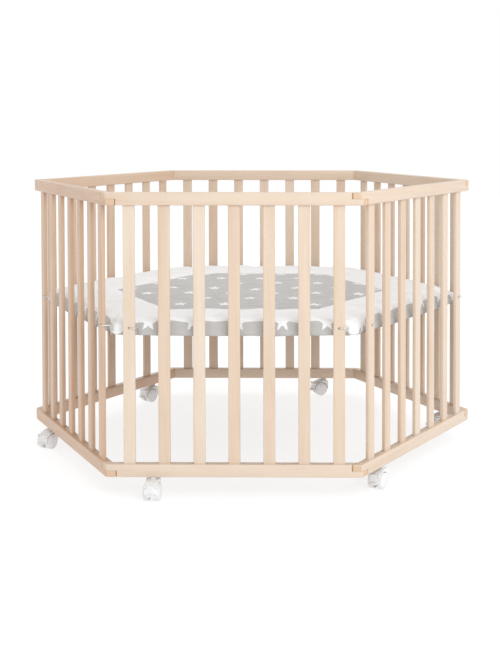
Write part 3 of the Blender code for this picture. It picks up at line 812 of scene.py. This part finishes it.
def wheel_mesh(side, trail):
    """A turned disc: flat tread with rounded rims, and an outer face that is a shallow dome, h = dome *
    cos(r / rim * pi / 2) ** 0.6, with a fine ring moulded into it."""
    rim, ease = WHEEL_RADIUS, WHEEL_EASE
    t = np.linspace(0, pi / 2, 6)
    inner = np.column_stack([rim - ease + ease * np.sin(t), WHEEL_INNER + ease - ease * np.cos(t)])
    outer = np.column_stack([rim - ease + ease * np.cos(t), WHEEL_OUTER - ease + ease * np.sin(t)])
    reach = np.linspace(rim - ease - 0.0003, 0, 40)
    rise = WHEEL_DOME * np.cos(reach / (rim - ease) * pi / 2) ** 0.6
    ring = RING_DEPTH * np.exp(-(((reach - rim * RING_RADIUS) / RING_WIDE) ** 2))
    dimple = DIMPLE_DEPTH * np.exp(-((reach / DIMPLE_RADIUS) ** 4))
    dome = np.column_stack([reach, WHEEL_OUTER + rise - ring - dimple])
    hub = np.array([(0, 0.0004), (0.0052, 0.0004), (0.0056, 0.0016)]) + (0, WHEEL_INNER)
    web = np.array([(rim - 0.0044, 0.0016), (rim - 0.0040, 0)]) + (0, WHEEL_INNER)
    profile = np.concatenate([hub, web, inner, outer, dome])
    profile[:, 1] *= side
    to_axle = Matrix.Translation((0, trail, WHEEL_RADIUS)) @ SIDEWAYS
    return mesh_of("wheel", turned(profile), matrix=to_axle, sharp=45)


def collar_skin(low, high):
    """The round collar that the stem turns in, with a bevelled lip."""
    r = COLLAR_RADIUS
    lip = [(r, high - 0.0022), (r + 0.0006, high - 0.0016), (r + 0.0006, high - 0.0004), (r - 0.0002, high)]
    return turned([(0, low), (r, low), *lip, (0, high)], 40)


def lug_skins(pivot):
    """The two ears that carry the brake lever's pins: round discs pushed sideways."""
    ear = circle(pivot.y, pivot.z, LEVER_BARREL + EAR_WALL, 32)
    near, far = LEVER_WIDE / 2 + 0.0003, LEVER_WIDE / 2 + 0.0044
    sides = (near, far), (-far, -near)
    return [placed(eased_prism(ear, low, high, 0.0005, 2), SIDEWAYS) for low, high in sides]


def lever_skins(pivot, low_corner, high_corner):
    """Brake lever: a plate that hangs from its barrel, and a pedal with three grip ribs at its foot."""
    inner, tip, axle = low_corner.y, high_corner.y, WHEEL_RADIUS
    barrel = circle(pivot.y, pivot.z, LEVER_BARREL, 32)
    plate = hull(np.concatenate([barrel, [(inner, axle), (inner + LEVER_THICK, axle)]]))
    under, ledge, front = axle - LEVER_THICK, axle + LEVER_THICK / 2, inner + LEVER_THICK
    corners = [(inner, under), (tip, under), (tip, axle - LEVER_THICK / 4), (front, ledge), (inner, ledge)]
    pedal = rounded_outline(corners, (0.0004, 0.0011, 0.0009, 0.0006, 0.0004), 5)
    wide = LEVER_WIDE / 2
    halves = (plate, wide), (pedal, wide - 0.0015)
    skins = [placed(eased_prism(line, -half, half, LEVER_EASE, 3), SIDEWAYS) for line, half in halves]
    start = np.array([front, ledge])
    for share in (0.35, 0.58, 0.81):
        rib_at = start + share * (np.array([tip, axle - LEVER_THICK / 4]) - start)
        across = np.linspace(0.0025 - wide, wide - 0.0025, 5)
        skins.append(tube(np.column_stack([across, np.tile(rib_at, (5, 1))]), RIB_RADIUS, 10))
    return skins


def make_castors():
    """Six twin-wheel castors: wheels, hood with collar and ears, and brake lever, each on its own body."""
    for panel in PANELS:
        to_world, trail = castor_matrix(panel)
        from_world = to_world.inverted()
        lever = moved(places(frame["nodes"]["castor_brake_" + panel].data), from_world)
        low, high = Vector(lever.min(0)), Vector(lever.max(0))
        joint = next(j for j in frame["joints"] if j["name"] == "brake_" + panel)
        pivot = from_world @ Vector(joint["pos_m"])
        hood_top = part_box("castor_hood_" + panel)[1].z
        collar = collar_skin(HOOD_TOP - COLLAR_SUNK, hood_top)
        fittings = mesh_of("fittings", collar, *lug_skins(pivot), matrix=to_world, sharp=35)
        pedal = mesh_of("lever", *lever_skins(pivot, low, high), matrix=to_world, sharp=35)
        for part, mesh, body, node in (
            ("cover", carried(hood_mesh(trail), to_world), "swivel_", "castor_hood_"),
            ("collar", fittings, "swivel_", "castor_hood_"),
            ("lever", pedal, "brake_", "castor_brake_"),
        ):
            piece(f"castor_{part}_{panel}", mesh, body + panel, NYLON, "white_plastic", node + panel)
        for side, word in ((-1, "left"), (1, "right")):
            disc = carried(wheel_mesh(side, trail), to_world)
            name, node = f"castor_disc_{word}_{panel}", f"castor_wheel_{word}_{panel}"
            piece(name, disc, f"{word}_wheel_{panel}", NYLON, "white_plastic", node)


# ---- Floor ----


def hook_wire(slat_x, turn):
    """Path of one hook's wire: from under the board out past its edge, up outside the padding, out beside
    the slat, across its outer face to the middle, and in towards the hole."""
    edge = slat_x + SLAT_WIDE / 2 + 0.0012 + WIRE
    inside = RAIL_THICK + 0.0024 + WIRE
    face = (RAIL_THICK - SLAT_THICK) / 2
    out = face - 0.0014 - WIRE
    under, level = BOARD_LOW.z - PANEL_LOW - PLATE_THICK, hook_level()
    points = [
        (edge + 0.006, inside + 0.030, under),
        (edge + 0.006, inside, under),
        (edge + 0.004, inside, level),
        (edge, out, level - 0.0005),
        (slat_x, out, level + 0.0004),
        (slat_x, face - TIP_SHORT, level),
    ]
    path = bent(points[:-1], WIRE_BEND)
    turned_in = bent([path[-2], *points[-2:]], TIP_BEND, 4)[1:]
    return moved(np.concatenate([path[:-1], turned_in]), turn)


def make_hooks():
    """At each corner: a plate screwed under the board, and two bent wires that hook into the slats."""
    first, last = END_SLAT - SIDE / 2, SIDE / 2 - END_SLAT
    corners = ("front_left", "front_right", "right", "back_right", "back_left", "left")
    for i, corner in enumerate(corners):
        wires = hook_wire(first, panel_matrix(i)), hook_wire(last, panel_matrix(i - 1))
        skins = [tube(wire, WIRE, 12) for wire in wires]
        turn = Matrix.Translation(MIDDLE) @ Matrix.Rotation(SIXTH * i, 4, "Z")
        mesh = mesh_of("hook", *skins, *hook_plate_skins(turn), sharp=35)
        piece("corner_hook_" + corner, mesh, "floor", STEEL, "zinc_steel", "floor_hook_" + corner)


def hook_plate_skins(turn):
    """The plate under the board's corner, and the two round screw heads on its underside."""
    corner = Vector(hexagon(APOTHEM - RAIL_THICK)[0])
    inward = -corner.normalized()
    across = Vector((-inward.y, inward.x))
    spots = ((0.020, 0.030), (0.046, 0.040), (0.062, 0.022))
    points = [corner + inward * a + across * b * way for a, b in spots for way in (1, -1)]
    outline = hull(np.array(points))
    plate = rounded_outline(outline, [PLATE_ROUND] * len(outline), 4)
    top = BOARD_LOW.z - 0.0003
    under = top - PLATE_THICK
    skins = [placed(eased_prism(plate, under, top, 0.0004, 2), turn)]
    t = np.linspace(0, pi / 2, 6)
    head = np.column_stack([SCREW_RADIUS * np.sin(t), under - SCREW_RISE * np.cos(t)])
    head = turned(np.concatenate([head, [(0, under + 0.0002)]]), 20)
    for b in (-0.014, 0.014):
        at = corner + inward * 0.050 + across * b
        skins.append(placed(placed(head, Matrix.Translation((at.x, at.y, 0))), turn))
    return skins


def finish_floor():
    """The board, its battens and the seam strip keep their solids and get their wood."""
    for node in ("floor_board_left", "floor_board_right"):
        repaint(frame["nodes"][node], HARDBOARD)
    for seed, node in enumerate(("floor_batten_front", "floor_batten_back", "floor_seam_strip")):
        obj = frame["nodes"][node]
        repaint(obj, BEECH)
        low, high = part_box(node)
        lies_along_y = high.y - low.y > high.x - low.x
        to_board = Matrix.Rotation(-pi / 2 if lies_along_y else 0.0, 4, "Z")
        grained(obj.data, to_board, 0.35, 70 + seed)


def finish_stems():
    """The castors' stems and axles keep their solids too."""
    for panel in PANELS:
        for part in ("castor_stem_", "castor_axle_"):
            repaint(frame["nodes"][part + panel], STEEL)


# ---- Padded insert ----


def ripples(x, y, seed, count, shortest, longest):
    """Sum of seeded sine waves of many directions and lengths, about 1 high: creases in cloth."""
    draw = np.random.default_rng(seed)
    way = draw.uniform(0, 2 * pi, count)
    number = 2 * pi / draw.uniform(shortest, longest, count)
    phase = draw.uniform(0, 2 * pi, count)
    inner = x[:, None] * number * np.cos(way) + y[:, None] * number * np.sin(way) + phase
    return np.sin(inner).sum(1) / np.sqrt(count / 2)


def ease_in(value, low, high):
    """0 below low, 1 above high, and a smooth cubic between them."""
    t = np.clip((value - low) / (high - low), 0, 1)
    return t * t * (3 - 2 * t)


class PadPlaces:
    """Where points lie on the insert: the way round, how far out they are, and how near a corner."""

    def __init__(self, x, y):
        y = y - MIDDLE.y
        sector = np.round((np.arctan2(y, x) + pi / 2) / SIXTH)
        sector = (sector + 2) % 6 - 2
        along = x * np.cos(sector * SIXTH) + y * np.sin(sector * SIXTH)
        self.out = x * np.sin(sector * SIXTH) - y * np.cos(sector * SIXTH)
        half = np.maximum(self.out, 1e-6) * tan(SIXTH / 2)
        share = np.clip(along / half, -1, 1)
        self.round_side = (sector + share / 2) * PAD_SIDE
        self.from_corner = (1 - np.abs(share)) * half


def pad_rings():
    """Rings of the insert's closed skin, from the middle of the top over the side, down to the hem and back
    under to the middle: each ring is the rounded hexagon at one size and one height."""
    apothem = PAD_REACH - PAD_GAP
    high, low = PAD_TOP, PAD_UNDER
    shares = np.linspace(0.03, 0.61, 40), np.linspace(0.622, 0.70, 14), np.linspace(0.712, 0.98, 33)
    flat = np.concatenate(shares) * (apothem - PAD_EASE)
    t = np.linspace(0, pi / 2, 9)
    over = apothem - PAD_EASE + PAD_EASE * np.sin(t), high - PAD_EASE + PAD_EASE * np.cos(t)
    side = np.full(11, apothem), np.linspace(high - PAD_EASE, low, 12)[1:]
    t = np.linspace(0, pi, 7)[1:-1]
    hem = apothem - HEM_THICK / 2 + HEM_THICK / 2 * np.cos(t), low - HEM_THICK / 2 * np.sin(t)
    under = np.linspace(apothem - HEM_THICK, 0.03 * apothem, 22)
    reach = np.concatenate([flat, over[0], side[0], hem[0], under])
    height = np.concatenate([np.full(len(flat), high), over[1], side[1], hem[1], np.full(len(under), low)])
    outline = resampled(rounded_outline(hexagon(1.0), [PAD_CORNER / apothem] * 6, 24), PAD_AROUND)
    rings = np.empty((len(reach), PAD_AROUND, 3))
    rings[:, :, :2] = reach[:, None, None] * outline[None]
    rings[:, :, 1] += MIDDLE.y
    rings[:, :, 2] = height[:, None]
    return rings


def resampled(outline, count):
    """The closed outline as evenly spaced points along its length."""
    shut = np.concatenate([outline, outline[:1]])
    far = np.concatenate([[0], np.cumsum(np.linalg.norm(np.diff(shut, axis=0), axis=1))])
    wanted = np.linspace(0, far[-1], count + 1)[:-1]
    return np.stack([np.interp(wanted, far, shut[:, 0]), np.interp(wanted, far, shut[:, 1])], -1)


def held_firmly(rings):
    """How firmly the simulation holds each point: the quilting seam, the middle tuft and the underside."""
    at = PadPlaces(rings[..., 0].ravel(), rings[..., 1].ravel())
    seam = np.exp(-(((at.out - QUILT_APOTHEM) / 0.007) ** 2))
    low = (rings[..., 2].ravel() < PAD_LOW.z + 0.004).astype(float)
    return np.maximum(np.maximum(seam, low), (at.out < 0.02).astype(float))


def swell(rings):
    """A cloth simulation on every second ring and point: pressure from inside lifts the cover
    between the points that are held. The travel, capped, is then spread to the points between."""
    coarse = rings[::2, ::2]
    mesh = mesh_of("stuffing", skin(coarse), sharp=180)
    obj = linked("stuffing", mesh)
    start = places(mesh)
    weights = np.round(held_firmly(start), 2)
    group = obj.vertex_groups.new(name="held")
    for weight in np.unique(weights[weights > 0]):
        group.add(np.flatnonzero(weights == weight).tolist(), float(weight), "REPLACE")
    cloth = obj.modifiers.new("Stuffing", "CLOTH")
    settings = cloth.settings
    settings.quality = 5
    settings.mass = 0.25
    settings.tension_stiffness = settings.compression_stiffness = 12
    settings.bending_stiffness = 0.6
    settings.use_pressure = True
    settings.uniform_pressure_force = 4
    settings.effector_weights.gravity = 0
    settings.vertex_group_mass = "held"
    cloth.point_cache.frame_end = CLOTH_STEPS
    scene = bpy.context.scene
    for number in range(1, CLOTH_STEPS + 1):
        scene.frame_set(number)
    travel = (places(as_modified(obj)) - start).reshape(coarse.shape)
    scene.frame_set(1)
    bpy.data.objects.remove(obj, do_unlink=True)
    far = np.linalg.norm(travel, axis=2, keepdims=True)
    travel *= WADDING_RISE * np.tanh(far / WADDING_RISE) / np.maximum(far, 1e-9)
    between = (travel + np.roll(travel, -1, axis=1)) / 2
    wide = np.stack([travel, between], 2).reshape(len(travel), -1, 3)
    rows = np.arange(len(rings)) / 2
    lower, upper = np.floor(rows).astype(int), np.minimum(np.ceil(rows).astype(int), len(travel) - 1)
    return rings + (wide[lower] + wide[upper]) / 2


def shaped(points, rest):
    """The stuffed cover, sunk along its seam, creased, and with a hem that hangs past the board, between
    the corners more than at them."""
    x, y, z = points.T
    at = PadPlaces(x, y)
    above = ease_in(rest[:, 2], PAD_TOP - PAD_EASE, PAD_TOP)
    seam = QUILT_APOTHEM - at.out
    valley = np.exp(-((seam / SEAM_WIDE) ** 2))
    pucker = np.sin(at.round_side / at.out.clip(0.05) * 9 + 3 * np.sin(at.round_side * 9))
    pucker *= np.exp(-((seam / 0.028) ** 2)) * ease_in(np.abs(seam), 0.001, 0.008)
    creases = ripples(x, y, 5, 26, 0.045, 0.13)
    fine = ripples(x * 0.8, y * 1.5, 8, 24, 0.024, 0.040)
    border = ease_in(at.out, QUILT_APOTHEM, QUILT_APOTHEM + 0.03)
    lift = (CREASES + BORDER_CREASES * border) * creases + FINE_CREASES * fine
    lift = lift + PUCKERS * pucker - SEAM_DEPTH * valley
    near_corner = np.exp(-((at.from_corner / 0.045) ** 2)) * ease_in(at.out, 0.30, 0.48)
    z = z + above * (lift - CORNER_DIP * near_corner)
    hem = -CORNER_SAG - (SIDE_SAG - CORNER_SAG) * ease_in(at.from_corner, 0.0, 0.19)
    ruffle = ripples(at.round_side, 0 * z, 4, 12, 0.05, 0.14) * ease_in(at.from_corner, 0.0, 0.05)
    hem = hem + RUFFLE * ruffle
    inner = PAD_REACH - PAD_GAP - HEM_THICK
    outside = at.out > inner + 0.0006
    down = np.clip((PAD_TOP - rest[:, 2]) / (PAD_TOP - PAD_UNDER), 0, 1) * outside
    z = z + hem * down
    on_board = ~outside & (rest[:, 2] < PAD_UNDER + 0.001)
    z = np.where(on_board, np.maximum(z, PAD_UNDER), z)
    wave = RUFFLE * ripples(at.round_side, z * 3, 3, 14, 0.03, 0.09) * (rest[:, 2] < PAD_TOP - 0.003)
    wave = np.minimum(wave, PAD_GAP * 0.8) * ease_in(at.out, inner + 0.001, inner + HEM_THICK)
    outward = unit(np.stack([x, y - MIDDLE.y], -1))
    return np.column_stack([x + outward[:, 0] * wave, y + outward[:, 1] * wave, np.minimum(z, PAD_HIGH.z)])


def make_pad():
    """The cover: rings of the rounded hexagon, stuffed, shaped, and marked for its print."""
    rings = pad_rings()
    mesh = mesh_of("padded_insert_cover", skin(rings), sharp=180)
    rest = places(mesh)
    puffed = swell(rings).reshape(-1, 3)
    final = shaped(puffed, rest)
    put(mesh, final)
    at = PadPlaces(final[:, 0], final[:, 1])
    drop = 0.034 * (1 - ease_in(at.from_corner, 0.006, 0.055)) ** 1.4
    inwards = np.maximum(PAD_REACH - PAD_GAP - PAD_EASE - at.out, 0)
    inwards = inwards * (rest[:, 2] > PAD_TOP - PAD_EASE)
    stretch = 1 + SIDE_SAG / (PAD_TOP - PAD_LOW.z)
    rise = (rest[:, 2] - PAD_TOP) * stretch + BAND_DROP + inwards + drop
    band = np.column_stack([at.round_side, rise, QUILT_APOTHEM - at.out])
    note_round(mesh, "band", band, 6 * PAD_SIDE)
    obj = piece("padded_insert_cover", mesh, "floor", COTTON, "cotton", "padded_insert")


# ---- Stage ----


def make_stage():
    """A pale floor, white surroundings and soft studio lights."""
    edges = np.array([[(-9, -9, 0), (9, -9, 0)], [(-9, 9, 0), (9, 9, 0)]], float)
    floor = mesh_of("floor", skin(edges, closed=False, capped=False))
    obj = linked("studio_floor", floor)
    repaint(obj, floor_finish())
    world = bpy.data.worlds.new("Studio")
    world.use_nodes = True
    world.node_tree.nodes["Background"].inputs["Color"].default_value = (1, 1, 1, 1)
    bpy.context.scene.world = world
    lamps = ("key", (1.7, -3.5, 2.3), 2.4, 76.0), ("fill", (2.9, 0.2, 2.2), 2.0, 12.0)
    for name, at, size, power in lamps:
        light = bpy.data.lights.new(name, "AREA")
        light.size = size
        light.energy = power
        light.color = (0.90, 0.97, 1.0)
        lamp = linked(name, light)
        lamp.location = at
        aim = MIDDLE + Vector((0, 0, 0.4)) - Vector(at)
        lamp.rotation_euler = aim.to_track_quat("-Z", "Y").to_euler()
    view = bpy.context.scene.view_settings
    view.view_transform = "Standard"
    view.look = "None"


def make_camera():
    """Stands a little right of the middle, above the top rails, with the lens shifted down and left."""
    camera = bpy.data.cameras.new("camera")
    camera.sensor_fit = "HORIZONTAL"
    camera.sensor_width = 36.0
    camera.lens = LENS
    camera.shift_x, camera.shift_y = LENS_SHIFT
    obj = linked("camera", camera)
    ahead = Vector((sin(YAW) * cos(PITCH), cos(YAW) * cos(PITCH), sin(PITCH)))
    level = Vector((cos(YAW), -sin(YAW), 0))
    turn = Matrix((level, level.cross(ahead), -ahead)).transposed()
    obj.matrix_world = Matrix.Translation(CAMERA_AT) @ turn.to_4x4()
    bpy.context.scene.camera = obj


make_camera()
make_stage()
make_panels()
make_castors()
make_hooks()
finish_floor()
finish_stems()
make_pad()
